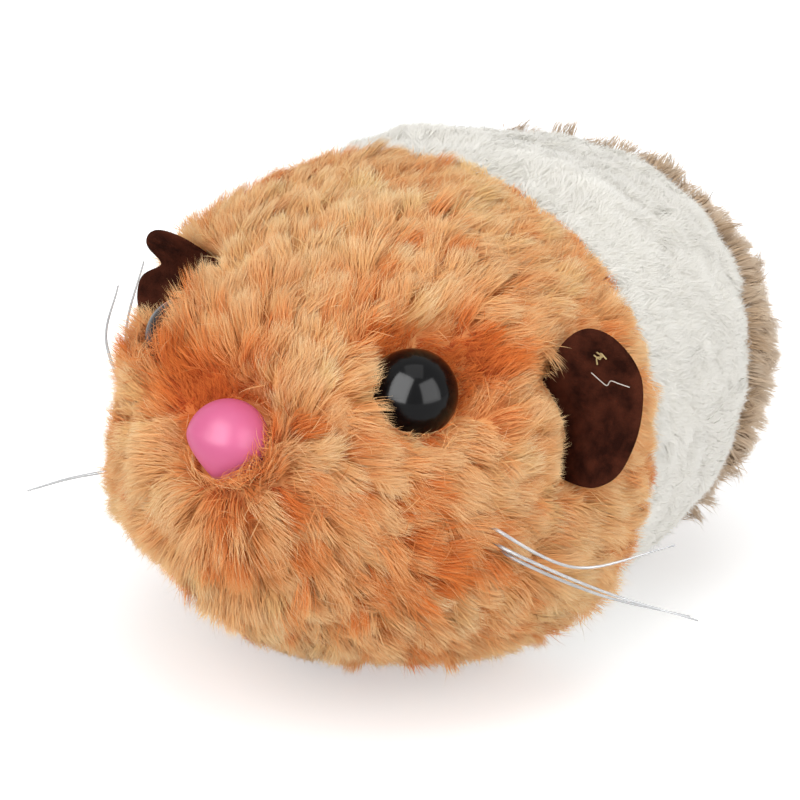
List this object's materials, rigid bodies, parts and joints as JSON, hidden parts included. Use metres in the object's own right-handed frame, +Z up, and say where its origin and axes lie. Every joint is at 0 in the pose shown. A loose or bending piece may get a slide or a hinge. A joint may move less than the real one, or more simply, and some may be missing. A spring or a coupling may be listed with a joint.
{
  "type": "vibrating plush cat toy",
  "caption": "Round plush cat toy with bead eyes, button nose, felt ears and nylon whiskers over a stuffed body that holds a spring-driven vibrating unit.",
  "frame": {"origin": "on the flat of the belly that the toy rests on, midway along the body", "axes": "+Z up through the back, -Y towards the nose, +X towards the toy's own left side"},
  "size_m": [0.0789, 0.083, 0.0514],
  "materials": {
    "tan_plush": "long tan pile with pale tips and rust roots",
    "white_plush": "short dense off-white pile",
    "stuffing": "polyester fibre fill",
    "ear_felt": "dark brown felt",
    "eye_plastic": "polished black",
    "nose_plastic": "glossy pink",
    "washer_plastic": "plain moulded",
    "nylon": "clear strand",
    "case_plastic": "fine moulded texture",
    "gear_plastic": "natural acetal",
    "steel": "plain",
    "brass": "satin"
  },
  "bodies": {
    "toy": {"head_plush": "tan_plush", "midsection_plush": "white_plush", "rear_plush": "tan_plush", "stuffing_front": "stuffing", "stuffing_rear": "stuffing", "eye_left": "eye_plastic", "eye_washer_left": "washer_plastic", "eye_right": "eye_plastic", "eye_washer_right": "washer_plastic", "nose": "nose_plastic", "nose_washer": "washer_plastic", "ear_left": "ear_felt", "ear_right": "ear_felt", "whisker_left_1": "nylon", "whisker_left_2": "nylon", "whisker_left_3": "nylon", "whisker_right_1": "nylon", "whisker_right_2": "nylon", "whisker_right_3": "nylon", "whisker_right_4": "nylon", "cord_eyelet": "brass", "eyelet_washer": "brass", "case_base": "case_plastic", "case_cover": "case_plastic", "case_screw_1": "steel", "case_screw_2": "steel", "case_screw_3": "steel", "case_screw_4": "steel", "spring_arbor": "steel", "idler_axle": "steel"},
    "drum": {"cord_drum": "gear_plastic", "barrel_lid": "gear_plastic", "mainspring": "steel"},
    "idler": {"idler_gear": "gear_plastic"},
    "shaker": {"weight_axle": "steel", "weight_pinion": "gear_plastic", "eccentric_weight": "brass"}
  },
  "joints": [
    {"name": "drum_spin", "type": "hinge", "parent": "toy", "child": "drum", "pos_m": [0, 0.0165, 0], "axis": [0, 0, 1], "range_deg": [0, 1530], "stiffness_Nm_per_rad": 0.0006, "springref_deg": -171.89, "deforming": ["mainspring"]},
    {"name": "idler_spin", "type": "hinge", "parent": "toy", "child": "idler", "pos_m": [0, 0.0052, 0], "axis": [0, 0, 1], "range_deg": [-6120, 0]},
    {"name": "shaker_spin", "type": "hinge", "parent": "toy", "child": "shaker", "pos_m": [0, -0.00385, 0], "axis": [0, 0, 1], "range_deg": [0, 18360]}
  ],
  "couplings": [
    {"joint": "idler_spin", "follows": "drum_spin", "ratio": -4},
    {"joint": "shaker_spin", "follows": "drum_spin", "ratio": 12}
  ]
}
